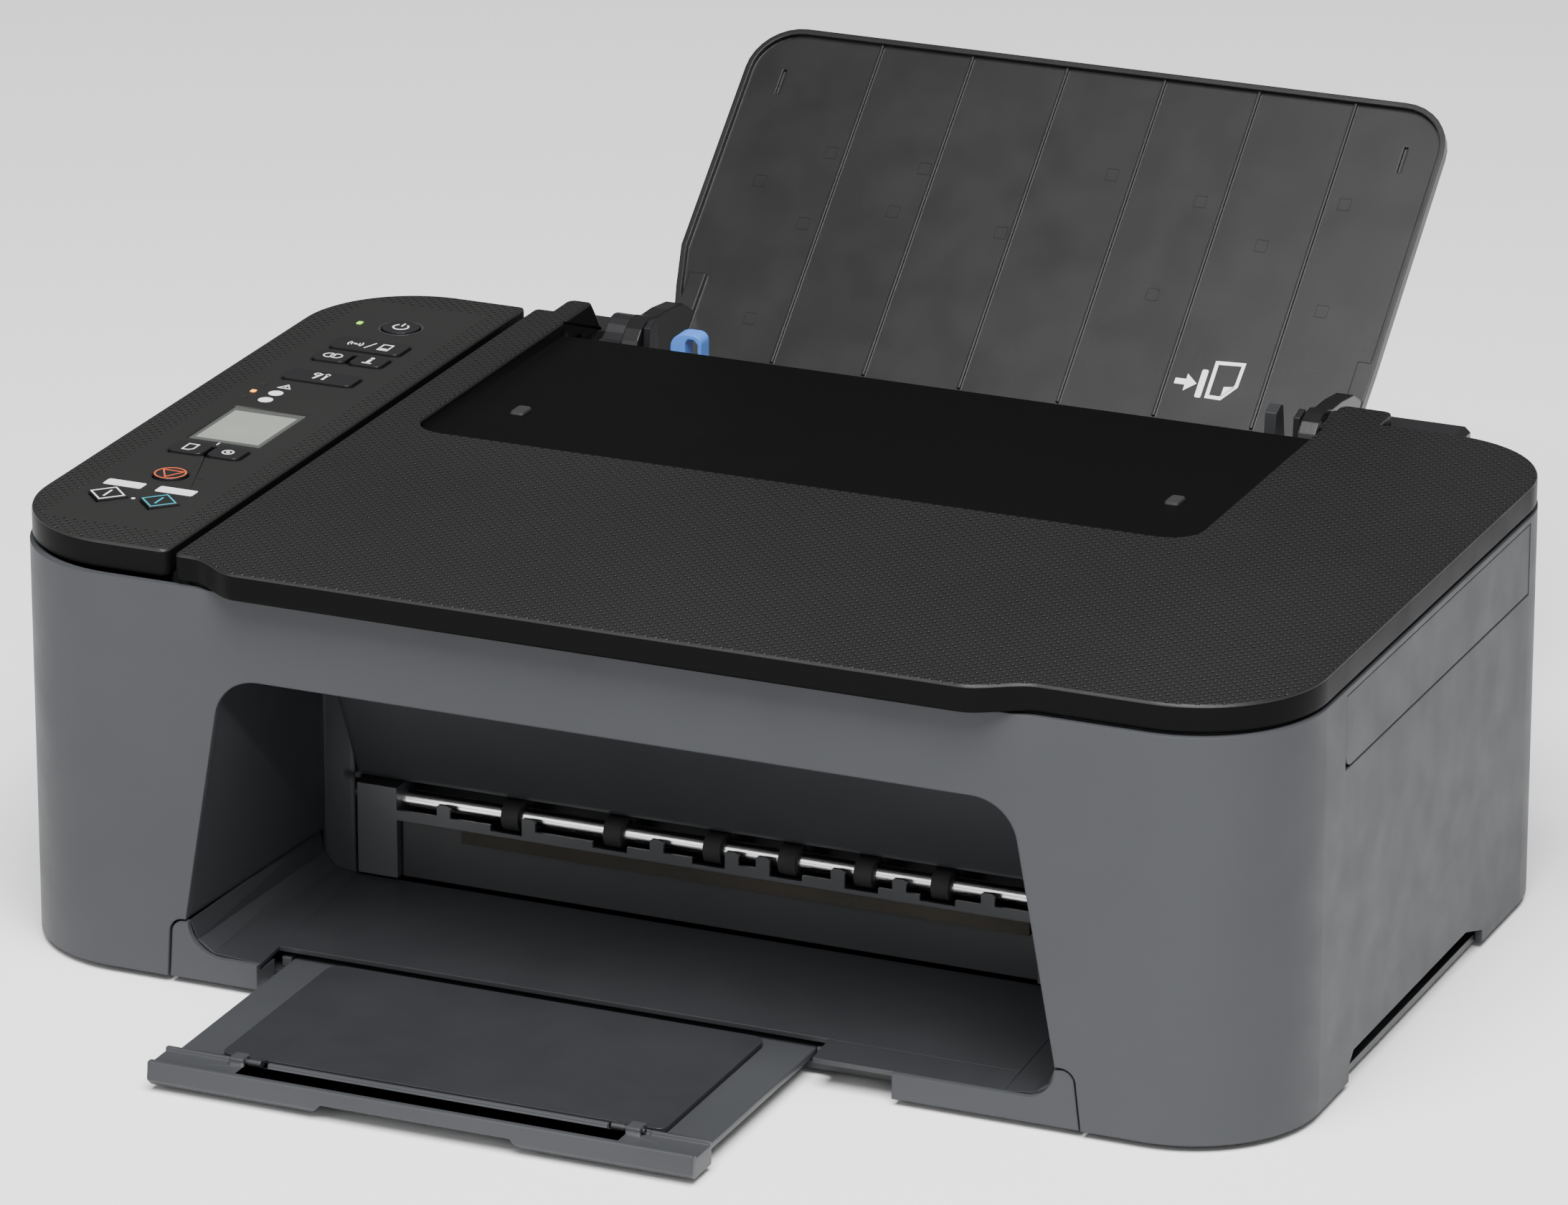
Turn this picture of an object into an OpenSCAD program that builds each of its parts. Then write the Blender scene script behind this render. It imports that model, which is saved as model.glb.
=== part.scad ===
/* [Casing] */
// Width of the casing, side to side
case_w = 435; // [434:1:436]
// Depth of the casing without the rear feeder
case_d = 269.4; // [269:0.1:270]
// Height of the closed printer
case_h = 145; // [145:0.5:146]
// Wall thickness of the casing
wall = 2.5; // [2.2:0.1:2.5]
// Corner radius at the front, seen from above
r_front = 42; // [40:0.5:43]
// Corner radius at the rear, seen from above
r_rear = 40; // [38:0.5:40]
// Height of the seam between casing and scanner lid
seam_z = 135.2; // [135:0.1:135.3]
// Height of the rubber feet
foot_h = 2.4; // [2.2:0.1:2.4]
// Reach of the rear paper feeder behind the centre
feeder_y = 172; // [170:1:173]

/* [Paper path] */
// Middle of the paper path, to the right of the casing's middle
paper_x = 3; // [3:1:3]
// Radius of the feed roller
feed_r = 6; // [5.8:0.1:6]
// Radius of the exit shaft
exit_r = 3; // [2.8:0.1:3]
// Radius of the rubber exit tyres
tyre_r = 5.2; // [5:0.1:5.2]
// Radius of the pickup roller
pickup_r = 17; // [15:0.5:17]

/* [Paper support] */
// Lean of the opened support above the horizontal, in degrees
support_tilt = 41.5; // [41:0.5:42]
// Distance from the pivot to the upper edge along the support
support_len = 145.2; // [140:0.1:146]
// Half width of the support
support_half = 128; // [127:0.5:128]
// Thickness of the support plate
support_t = 3.1; // [2.8:0.1:3.1]
// Offset of the paper face behind the pivot
support_off = 16.2; // [16.2:0.1:16.3]

/* [Output tray] */
// How far the tray is pulled out
tray_out = 78; // [76:1:78]
// Left end of the tray's front bar
bar_x0 = -121.3; // [-122:0.1:-121]
// Right end of the tray's front bar
bar_x1 = 62.8; // [62:0.1:64]

/* [Buttons] */
// Height of the button caps above the panel
cap_rise = 0.5; // [0.3:0.1:0.6]
// Gap between a button and the edge of its hole
cap_gap = 0.35; // [0.3:0.05:0.4]

/* [Hidden] */
$fn = 48;
hx = case_w / 2;
hy = case_d / 2;
base_z = foot_h;
floor_t = 2.4;
pivot = [153.2, 125.4];
tray_front = -hy - 3.3 - tray_out;
support_top = pivot[0] + support_len * cos(support_tilt) + (support_off + support_t) * sin(support_tilt);
// Middle of the whole depth, from the tray's front edge to the support's back
mid_y = (support_top + tray_front) / 2;
hinge_y = 141;
hinge_z = 131;
notch_x0 = -131;
notch_x1 = 134;
notch_y = 124;
exit_y = -57;
exit_z = 42.6;
feed_y = 6;
feed_z = 41.8;
pickup_y = 107.2;
pickup_z = 86.9;
motor_y = 21.1;
motor_z = 26.7;
cover_y = -60.5;
cover_z = 49.5;
cover_lean = 24;
shaft_gap = 0.05;
tyre_x = [-69.6, -33.7, 0.9, 26.8, 52.8, 79];
black = "#1b1c1e";
dark = "#2b2c2f";
grey = "#8b8f94";
steel = "#b9bcc0";
casing_grey = "#55585b";

// Flat rectangle with a radius at each corner: front-left, front-right, rear-right, rear-left
module plate2d(x0, x1, y0, y1, r = [0, 0, 0, 0]) {
  difference() {
    translate([x0, y0]) square([x1 - x0, y1 - y0]);
    corner_cut(x0, y0, 1, 1, r[0]);
    corner_cut(x1, y0, -1, 1, r[1]);
    corner_cut(x1, y1, -1, -1, r[2]);
    corner_cut(x0, y1, 1, -1, r[3]);
  }
}
module corner_cut(x, y, sx, sy, r) {
  if (r > 0)
    translate([x, y]) difference() {
      translate([sx > 0 ? -1 : -r, sy > 0 ? -1 : -r]) square(r + 1);
      translate([sx * r, sy * r]) circle(r, $fn = 64);
    }
}
module slab(x0, x1, y0, y1, z0, z1, r = [0, 0, 0, 0]) {
  translate([0, 0, z0]) linear_extrude(z1 - z0) plate2d(x0, x1, y0, y1, r);
}
module box(x0, x1, y0, y1, z0, z1) {
  translate([x0, y0, z0]) cube([x1 - x0, y1 - y0, z1 - z0]);
}
// Cylinder along X from x0 to x1
module rod_x(x0, x1, y, z, r) {
  translate([x0, y, z]) rotate([0, 90, 0]) cylinder(h = x1 - x0, r = r);
}
// Cylinder along Y from y0 to y1
module rod_y(x, y0, y1, z, r) {
  translate([x, y0, z]) rotate([-90, 0, 0]) cylinder(h = y1 - y0, r = r);
}
// Outline in the YZ plane, extruded along X from x0 to x1
module prism_x(x0, x1, pts) {
  translate([x0, 0, 0]) rotate([90, 0, 90]) linear_extrude(x1 - x0) polygon(pts);
}
// Outline in the XZ plane, extruded along Y from y0 to y1
module prism_y(y0, y1, pts) {
  translate([0, y1, 0]) rotate([90, 0, 0]) linear_extrude(y1 - y0) polygon(pts);
}
// Gear with square teeth, its shaft along X
module gear_x(x0, x1, y, z, r, teeth, bore) {
  translate([x0, y, z]) rotate([90, 0, 90]) linear_extrude(x1 - x0) difference() {
    union() {
      circle(r - 1);
      for (i = [0 : teeth - 1]) rotate(i * 360 / teeth) translate([0, -0.6]) square([r, 1.2]);
    }
    circle(bore);
  }
}
module place(c) {
  color(c) translate([0, -mid_y, 0]) children();
}

// ---------------------------------------------------------------- body
module base_chassis() {
  place(dark) {
    difference() {
      slab(-hx + 2.7, hx - 2.7, -hy + 13, hy - 2.7, base_z, base_z + floor_t, [28, 28, 37, 37]);
      for (p = foot_points()) translate([p[0], p[1], base_z - 1]) cylinder(h = 2, r = 5.1);
      for (p = screw_points()) translate([p[0], p[1], base_z - 1]) cylinder(h = 9, r = 1.7);
    }
    // Service station under the parked carriage, with a waste ink basin
    difference() {
      box(113, 188, -46, -6, base_z + floor_t + 0.05, 33);
      box(115, 186, -44, -8, 24, 34);
    }
    // Bosses of the casing screws
    for (p = screw_points()) difference() {
      translate([p[0], p[1], base_z + floor_t + 0.05]) cylinder(h = 6, r = 4);
      translate([p[0], p[1], base_z]) cylinder(h = 12, r = 1.7);
    }
  }
}

// Points of a quarter arc about (cx, cz), from angle a0 to a1
function arc_points(cx, cz, rx, rz, a0, a1, n = 8) = [for (i = [0 : n]) [cx + rx * cos(a0 + (a1 - a0)
    * i / n), cz + rz * sin(a0 + (a1 - a0) * i / n)]];

// Sill below the opening, left and right of the tray, and the rails that guide the tray
module front_sill() {
  place(casing_grey) {
    prism_y(-hy + 0.4, -hy + 2.5, concat([[-154.8, 2.4], [-124, 2.4], [-124, 10.7]],
      arc_points(-137.2, 21.8, 11, 11.1, 270, 180), arc_points(-149.7, 17.6, 4.1, 4.2, 90, 180)));
    box(-150, -124, -hy + 2.5, -hy + 12.8, 2.4, 8.4);
    prism_y(-hy + 0.4, -hy + 2.5, concat([[93.4, 10.7], [93.4, 2.4], [155.2, 2.4]],
      arc_points(149.2, 17.2, 4.2, 4.2, 0, 90), arc_points(136.6, 21, 10.3, 10.3, 0, -90)));
    box(93.4, 150, -hy + 2.5, -hy + 12.8, 2.4, 8.4);
    box(-122.9, -119.8, -hy + 16, -18, base_z + floor_t + 0.05, 8.2);
    box(61.8, 64.9, -hy + 16, -18, base_z + floor_t + 0.05, 8.2);
  }
}
function foot_points() = [[-168, -96], [168, -96], [-168, 104], [168, 104]];
function screw_points() = [[-192, -70], [192, -70], [-192, 50], [192, 50]];

module rubber_feet() {
  place("#202020") for (p = foot_points()) translate([p[0], p[1], 0]) {
    cylinder(h = base_z, r1 = 6.6, r2 = 6.6);
    translate([0, 0, base_z]) cylinder(h = 1, r = 5);
  }
}

module outer_casing() {
  place(casing_grey) difference() {
    slab(-hx, hx, -hy, hy, base_z, seam_z - 0.3, [r_front, r_front, r_rear, r_rear]);
    slab(-hx + wall, hx - wall, -hy + wall, hy - wall, 0, seam_z + 1, [r_front - wall, r_front - wall,
        r_rear - wall, r_rear - wall]);
    // Delivery opening, wider at the bottom
    prism_y(-hy - 1, -hy + 6, concat([[-155.6, 2], [156, 2]], arc_points(149.2, 17.2, 5, 5, 0, 90),
      [[147.2, 22.2]], arc_points(119.2, 91.5, 15.2, 15, 8, 90, 10), arc_points(-121.6, 91.5, 15.2, 15,
          90, 172, 10),
      [[-148.7, 22.6]], arc_points(-149.7, 17.6, 4.9, 5, 90, 180)));
    // Arched lower edge of both sides
    prism_x(-hx - 1, hx + 1, [[-66, 0], [58, 0], [58, 6.6], [42, 11.7], [-62, 11.7], [-66, 8]]);
    // Seat of the side panel
    box(hx - wall - 1, hx + 1, -75.5, 94.6, 108.6, 132.9);
    // Rear window for the paper path, open to the top
    box(-130, 136, hy - 6, hy + 2, 40, seam_z + 2);
    // Hole for the power inlet
    box(159.8, 177.2, hy - 6, hy + 2, 14.2, 29.8);
  }
}

module side_panel() {
  place(casing_grey) difference() {
    box(hx - wall, hx - 0.15, -75.1, 94.2, 109, 132.5);
    // Finger recess at its lower front corner
    translate([hx, -75.1, 109]) difference() {
      translate([-5, -1, -1]) cube([10, 6, 6]);
      translate([-6, 5, 5]) rotate([0, 90, 0]) cylinder(h = 12, r = 5);
    }
  }
}

module casing_screws() {
  place(steel) for (p = screw_points()) translate([p[0], p[1], 0]) {
    translate([0, 0, base_z - 1.3]) cylinder(h = 1.3, r = 3.4);
    translate([0, 0, base_z]) cylinder(h = 7, r = 1.5);
  }
}

// ---------------------------------------------------------------- delivery tunnel
module output_floor() {
  place(dark) {
    prism_x(-123.7, 129.8, [[-119, 10.2], [-62.4, 14.4], [-62.4, 16], [-119, 11.8]]);
    prism_x(66, 129.8, [[-132, 9], [-119.1, 10.2], [-119.1, 11.8], [-132, 10.6]]);
    floor_ramp([[-148.4, 21.8], [-145.8, 15.4], [-140.4, 11.6], [-123.8, 10.6]],
      [[-137, 29], [-135.4, 21.6], [-131.6, 17], [-123.8, 16]]);
    floor_ramp([[146.6, 21.4], [144.4, 15.2], [139.4, 11.6], [129.9, 10.6]],
      [[142.4, 29], [141, 21.6], [137.4, 17], [129.9, 16]]);
  }
}
// Curved side of the floor, between a front and a rear cross-section
module floor_ramp(front, rear) {
  for (i = [0 : 2]) hull() for (k = [i, i + 1]) {
    translate([front[k][0] - 0.05, -132, front[k][1] - 1.2]) cube([0.1, 0.5, 1.2]);
    translate([rear[k][0] - 0.05, -62.9, rear[k][1] - 1.2]) cube([0.1, 0.5, 1.2]);
  }
}

module opening_liner() {
  place(dark) {
    liner_wall(-1, -149.2, -136.8, -134.4 - 1.2);
    liner_wall(1, 146.6, 134.4, 140.6 + 1.2);
    // Ceiling of the tunnel, up to the inner cover
    box(-134, 131.8, -hy + 2.7, -88.4, 107, 108.6);
    // Upright strips beside the exit, with the bearings of the inner cover
    difference() {
      union() {
        box(-136, -124.4, -62, -58.5, 12, 105);
        box(130.4, 142, -62, -58.5, 12, 105);
      }
      rod_x(-128, -120, cover_y, cover_z, 1.2 + shaft_gap);
      rod_x(128, 134, cover_y, cover_z, 1.2 + shaft_gap);
      rod_x(-137, -124, exit_y, exit_z, exit_r + 0.6);
    }
  }
}
// Side wall of the tunnel: leans outward at the front, upright at the rear
module liner_wall(s, xlow, xhigh, xrear) {
  hull() {
    prism_y(-hy + 2.7, -hy + 3.7, [[xlow - s * 0.2, 22.3], [xlow + s * 1.4, 22.3], [xhigh + s * 1.6,
        98], [xhigh + s * 1.2, 106.4], [xhigh, 106.4], [xhigh, 98]]);
    box(min(xrear, xrear + s * 1.2), max(xrear, xrear + s * 1.2), -62.8, -62.3, 29.3, 106.4);
  }
}

module exit_comb() {
  place("#3a3c40") {
    box(-109, 113.2, -51.2, -46.2, 46.8, 48);
    // Guide strip in front of the exit shaft, lower in front of each tyre
    difference() {
      box(-109, 113.2, -63.6, -62.5, 36.9, 40.4);
      for (x = tyre_x) box(x - 6, x + 6, -64, -62, 38.4, 41);
    }
    for (x = [-92.2, -62.2, -17.4, 8.6, 19.3, 45, 66, 96]) {
      box(x - 2.35, x + 2.35, -63.6, -62.5, 37, 43.4);
      rod_y(x - 1.15, -63.6, -62.5, 43.4, 1.2);
      rod_y(x + 1.15, -63.6, -62.5, 43.4, 1.2);
      box(x - 1.15, x + 1.15, -63.6, -62.5, 43.4, 44.6);
    }
    // Cheeks at both ends carry the exit shaft
    difference() {
      union() {
        box(-122.8, -108.8, -63.6, -50, 17, 48);
        box(113, 127, -63.6, -50, 17, 48);
      }
      rod_x(-124, -107, exit_y, exit_z, exit_r + shaft_gap);
      rod_x(112, 128, exit_y, exit_z, exit_r + shaft_gap);
    }
  }
}

module exit_foam() {
  place("#4a4b4e") box(-86, 110, -63.3, -61, 32.4, 36.8);
}

module platen() {
  place("#303236") {
    // Front face under the exit, shelf and ribbed bridge
    difference() {
      prism_x(-108, 112.4, [[-61, 17], [-58.8, 17], [-58.8, 34], [-46, 34], [-44, 41], [-14, 41], [-14,
          43.4], [-45.6, 43.4], [-49.5, 36.6], [-61, 36.6]]);
      // Drip slots for borderless printing
      for (x = [-90 : 36 : 90]) box(x - 8, x + 8, -33, -29, 40, 45);
    }
    for (x = [-102 : 12 : 104]) box(x, x + 1.4, -43, -15, 43.4, 47);
  }
}

module guide_rail() {
  place(steel) {
    difference() {
      union() {
        box(-197.9, 199.9, 30, 31.6, 58, 94);
        box(-197.9, 199.9, 31.6, 48, 58, 59.6);
      }
      for (x = [-150 : 60 : 150]) rod_y(x, 29, 33, 70, 4);
      rod_y(184, 29, 33, 86, 4.6);
    }
    // Pin of the idler pulley
    rod_y(-186, 31.6, 43, 86, 1.5);
  }
}

module side_frames() {
  place(steel) {
    difference() {
      prism_x(-200, -197.9, frame_outline());
      rod_x(-201, -197, feed_y, feed_z, 4 + shaft_gap);
      rod_x(-201, -197, exit_y, exit_z, exit_r + 0.6);
      rod_x(-201, -197, motor_y, motor_z, 3);
    }
    // Pin of the idler gear
    rod_x(-206.2, -200, (feed_y + exit_y) / 2, (feed_z + exit_z) / 2, 2);
    difference() {
      prism_x(199.9, 202, frame_outline());
      rod_x(199, 203, feed_y, feed_z, 4 + shaft_gap);
    }
  }
}
function frame_outline() = [[-66, 20], [-50, base_z + floor_t], [56, base_z + floor_t], [56, 104], [20,
    108], [-40, 108], [-66, 60]];

// ---------------------------------------------------------------- rear feeder
module rear_feeder() {
  place(dark) {
    difference() {
      slab(-152, 157, hy + 0.2, feeder_y, 8, 105, [0, 0, 12, 12]);
      slab(-149.5, 154.8, hy - 1, feeder_y - 2.5, 10.5, 106, [0, 0, 9.5, 9.5]);
    }
    // Ramp that carries the sheets down to the feed roller
    difference() {
      prism_x(paper_x - 127.5, paper_x + 127.5, [[166.1, 105], [169.4, 105], [169.4, 101], [96, 50.4],
          [60, 44.6], [16, 44.6], [16, 46.8], [60, 46.9], [95, 53]]);
      box(paper_x - 130, paper_x - 112, 134.8, 180, 70, 110);
      box(paper_x + 112, paper_x + 130, 134.8, 180, 70, 110);
    }
    // Side plates with the bearings of the pickup roller
    difference() {
      union() {
        prism_x(paper_x - 127.5, paper_x - 125, feeder_cheek());
        prism_x(paper_x + 125, paper_x + 127.5, feeder_cheek());
      }
      rod_x(-130, 134, pickup_y, pickup_z, 3 + shaft_gap);
    }
    // Brackets that carry the support's pivot and the lid's hinge pins
    bracket(-130.3, paper_x - 125.2);
    bracket(paper_x + 125.2, 133.3);
    rod_x(paper_x - 125.2, paper_x - 118.2, pivot[0], pivot[1], 2.5);
    rod_x(paper_x + 118.2, paper_x + 125.2, pivot[0], pivot[1], 2.5);
    rod_x(-147, -130.3, hinge_y, hinge_z, 2);
    rod_x(133.3, 154.4, hinge_y, hinge_z, 2);
    for (x = [-147, 152.4]) prism_x(x, x + 2, [[135.4, 60], [149, 60], [147, 134.4], [136, 134.4]]);
    box(-149.4, -130.3, 135.4, 149, 60, 64);
    box(133.3, 154.7, 135.4, 149, 60, 64);
    // Ends of the rear cover beside the brackets
    box(-146, -131.5, 158, feeder_y, 98, 131.4);
    prism_y(158, feeder_y, [[136.5, 98], [156.9, 98], [170, 118], [170, 132.4], [168, 134.2], [136.5, 134.2]]);
    // Fins that keep the sheets off the pivots
    fin(-114.8, -112.6);
    fin(118.6, 120.8);
  }
}
function feeder_cheek() = [[62, 50], [96, 54], [126, 74], [126, 104], [70, 104], [62, 90]];
module bracket(x0, x1) {
  prism_x(x0, x1, concat([[135.4, 60], [160, 60], [162, 122]], arc_points(153.2, 131.6, 8.4, 8.2, -10,
      150, 8), [[143, 134], [136, 134.4]]));
}
module fin(x0, x1) {
  prism_x(x0, x1, [[136.6, 84], [148, 92], [151, 120], [150.2, 137], [148.6, 141], [143.4, 139.6],
      [142, 126], [136.6, 100]]);
}

module guide_fin(x0, x1) {
  prism_x(x0, x1, [[100, 57.6], [159.4, 105.8], [159.6, 124], [153, 129], [151.4, 140.4], [149.6,
      141.2], [145.2, 139.4], [143.6, 126], [131, 100], [100, 75]]);
}
module right_guide() {
  place(grey) guide_fin(108, 112);
}
module left_guide() {
  place("#3f7fbf") {
    prism_x(-106, -103, [[100, 57.6], [159.4, 105.8], [159.6, 122], [154, 126], [142, 124], [131, 100],
        [100, 75]]);
    // Finger loop on top, with a slanting web inside
    difference() {
      loop_shape(145.5, 152);
      prism_y(144, 153.5, [[-100.6, 116], [-96, 116], [-96, 135.2], [-97.4, 136.8], [-99.6, 136.8],
          [-100.6, 135.2]]);
    }
    // Slanting web inside the loop
    prism_y(150, 152, [[-100.8, 124], [-100.8, 126], [-95.6, 120.6], [-95.6, 118.6]]);
    prism_x(-103, -100, [[112, 67], [150, 98], [150, 102], [112, 71]]);
  }
}
module loop_shape(y0, y1) {
  prism_y(y0, y1, concat([[-106, 118], [-94.6, 118]], arc_points(-97.6, 135.4, 3, 3, 0, 90, 6),
    arc_points(-101, 133.4, 5, 5, 90, 180, 6)));
}

// ---------------------------------------------------------------- electrics
module main_board() {
  place("#1f6b3a") {
    box(-196, -152, 66, 118, 30, 31.6);
    box(-192, -172, 80, 100, 31.6, 34);
    box(-172, -158, 102, 116, 31.6, 38);
    for (y = [72 : 8 : 96]) translate([-164, y, 31.6]) cylinder(h = 9, r = 2.6);
    // Second board, under the buttons
    box(-206, -157, -104, 106, 136, 137.4);
    for (b = [0 : 9]) {
      s = button_spec(b);
      box((s[0] + s[1]) / 2 - 2.5, (s[0] + s[1]) / 2 + 2.5, (s[2] + s[3]) / 2 - 2.5, (s[2] + s[3])
          / 2 + 2.5, 137.4, 138.1);
    }
    for (x = [-194, -154]) for (y = [68, 116]) translate([x, y, base_z + floor_t])
        cylinder(h = 30 - base_z - floor_t, r = 1.6);
  }
}

module power_supply() {
  place("#5a5c60") difference() {
    box(150, 198, 60, 118, base_z + floor_t, 46);
    for (y = [66 : 8 : 108]) box(156, 192, y, y + 3, 44, 47);
  }
}

module power_inlet() {
  place("#151515") difference() {
    box(160, 177, 124.4, hy, 14.4, 29.6);
    box(162.5, 174.5, hy - 8, hy + 1, 18, 26);
  }
}

// ---------------------------------------------------------------- scanner
module scanner_bed() {
  place(dark) {
    difference() {
      slab(-149.6, 214.6, -131.6, 122, 112, 135.2, [8, 39, 34, 4]);
      slab(-147.4, 212.4, -129.4, 119.8, 114, 131.4, [6, 37, 32, 2]);
      box(-118, 188, -120, 102, 132.6, 137);
      box(-115, 185, -117, 99, 130, 134);
    }
    // Rod that guides the image sensor bar
    rod_x(-147.4, 212.4, -8, 119, 3);
  }
}

module scan_glass() {
  place("#cfe0e4") box(-117.8, 187.8, -119.8, 101.8, 132.7, 135.4);
}

module scanner_carriage() {
  place("#25272b") difference() {
    box(-144, -124, -112, 96, 115.2, 130.8);
    rod_x(-146, -122, -8, 119, 3 + shaft_gap);
    box(-138, -130, -108, 92, 129, 132);
  }
}

// ---------------------------------------------------------------- control panel
panel_x0 = -hx;
panel_x1 = -153.8;
module panel_housing() {
  place("#26282b") difference() {
    slab(panel_x0, panel_x1, -131.8, 133, 135.8, case_h, [40.5, 3, 2, 38.5]);
    slab(panel_x0 + 2, panel_x1 - 2, -129.8, 131, 135, case_h - 2.4, [38.5, 1.5, 1.5, 36.5]);
    for (b = [0 : 9]) button_shape(b, 138, 148, cap_gap);
    box(-197.2, -171.3, -32.2, 2.2, 138, 148);
  }
}
// Each button: left, right, front, rear, corner radius
function button_spec(b) = [
  [-188.8, -176.2, 89.2, 101.8, 6.3],
  [-196, -170.5, 68, 79.3, 2],
  [-196, -184, 54.5, 64.5, 2],
  [-182.3, -170.7, 54.5, 64.5, 2],
  [-196.3, -171, 33, 43, 2],
  [-197.3, -185, -47, -37, 2],
  [-183.3, -172, -47, -37, 2],
  [-191, -180, -72.8, -61.8, 5.5],
  [-201.8, -188.2, -99.1, -85.5, 0],
  [-183.5, -169.9, -99.1, -85.5, 0]
][b];
module button_shape(b, z0, z1, g) {
  s = button_spec(b);
  grow = s[4] == 0 ? g * 1.42 : g;
  cx = (s[0] + s[1]) / 2;
  cy = (s[2] + s[3]) / 2;
  w = (s[1] - s[0]) / 2 + grow;
  d = (s[3] - s[2]) / 2 + grow;
  if (s[4] > 5)
    translate([cx, cy, z0]) cylinder(h = z1 - z0, r = w);
  else if (s[4] == 0)
    translate([cx, cy, z0]) linear_extrude(z1 - z0) polygon([[-w, 0], [0, -w], [w, 0], [0, w]]);
  else
    slab(cx - w, cx + w, cy - d, cy + d, z0, z1, [2, 2, 2, 2]);
}
module button(b, c) {
  place(c) {
    button_shape(b, 140.4, case_h + cap_rise, 0);
    // Flange that holds the button under the panel
    button_shape(b, 140.4, 141.8, 0.55);
    s = button_spec(b);
    translate([(s[0] + s[1]) / 2, (s[2] + s[3]) / 2, 139.2]) cylinder(h = 1.3, r = 1.6);
  }
}
module power_button() { button(0, dark); }
module wireless_button() { button(1, dark); }
module direct_button() { button(2, dark); }
module info_button() { button(3, dark); }
module tools_button() { button(4, dark); }
module paper_button() { button(5, dark); }
module ok_button() { button(6, dark); }
module stop_button() { button(7, "#c2502e"); }
module black_start_button() { button(8, "#d8dadb"); }
module color_start_button() { button(9, "#2f8f9c"); }

module lcd_display() {
  place("#aab3a6") {
    box(-197, -171.5, -32, 2, 140, case_h - 0.3);
    box(-200, -168.5, -36, 6, 137.6, 140);
  }
}

// ---------------------------------------------------------------- lid
module lid_outline() {
  plate2d(-150.3, hx - 0.2, -133.6, 133.6, [2, r_front, r_rear - 1, 2]);
  // Lip over the delivery opening, with swept ends
  translate([0, -133.6]) polygon(concat(
    [[-148, 1], [-148, 0]],
    [for (t = [0 : 0.1 : 1]) [-144 + 19 * t, -9.4 * (3 * t * t - 2 * t * t * t)]],
    [for (t = [0 : 0.1 : 1]) [118 + 22 * t, -9.4 * (1 - (3 * t * t - 2 * t * t * t))]],
    [[144, 0], [144, 1]]));
  plate2d(-144, -131, 130, 147, [0, 0, 3, 3]);
  plate2d(134, 152, 130, 147, [0, 0, 3, 3]);
}
module document_cover() {
  place(black) difference() {
    translate([0, 0, seam_z + 0.7]) linear_extrude(case_h - seam_z - 0.7) lid_outline();
    // Hollow underside: the skirt stays, the floor is lower under the recess
    difference() {
      slab(-148, hx - 2.6, -131.4, 131.4, seam_z, case_h - 2.4, [2, r_front - 2, r_rear - 3, 2]);
      slab(-137.5, 139, 2.5, 140, 138.2, case_h, [0, 0, 0, 0]);
    }
    // Recess for the folded paper support
    slab(-135.5, 136, 4.5, notch_y + 0.1, 140.3, case_h + 1, [11, 11, 0, 0]);
    // Slanting end of the rear left shoulder
    prism_y(notch_y, 150, [[-136.5, case_h + 1], [-130, case_h + 1], [-130, 135], [-131.4, 135.4]]);
    // Notch for the sheets
    slab(notch_x0, notch_x1, notch_y, 160, seam_z - 1, case_h + 1);
  }
}

module lid_pad() {
  place("#f1f1ee") slab(-121, 191, -123, 105, 135.9, 138.2, [2, 2, 2, 2]);
}

module lid_hinges() {
  place(dark) {
    hinge_arm(-142, -133.4);
    hinge_arm(137, 149);
  }
}
module hinge_arm(x0, x1) {
  difference() {
    union() {
      rod_x(x0, x1, hinge_y, hinge_z, 4.4);
      box(x0, x1, hinge_y - 4.4, hinge_y + 4.4, hinge_z, seam_z + 0.7);
    }
    rod_x(x0 - 1, x1 + 1, hinge_y, hinge_z, 2 + shaft_gap);
  }
}

// ---------------------------------------------------------------- paper support
// Outline of the support plate, drawn in by i, with its upper corners rounded
function support_outline(i) = concat(
  [[-124.5 + i, 14], [-124.5 + i, 26], [-127.6 + i, 38], [-support_half - paper_x + i, 54]],
  arc_points(-support_half - paper_x + 18, support_len - 18, 18 - i, 18 - i, 180, 90),
  arc_points(support_half - paper_x - 18, support_len - 18, 18 - i, 18 - i, 90, 0),
  [[support_half - paper_x - i, 40], [124.5 - i, 14]]);
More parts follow.
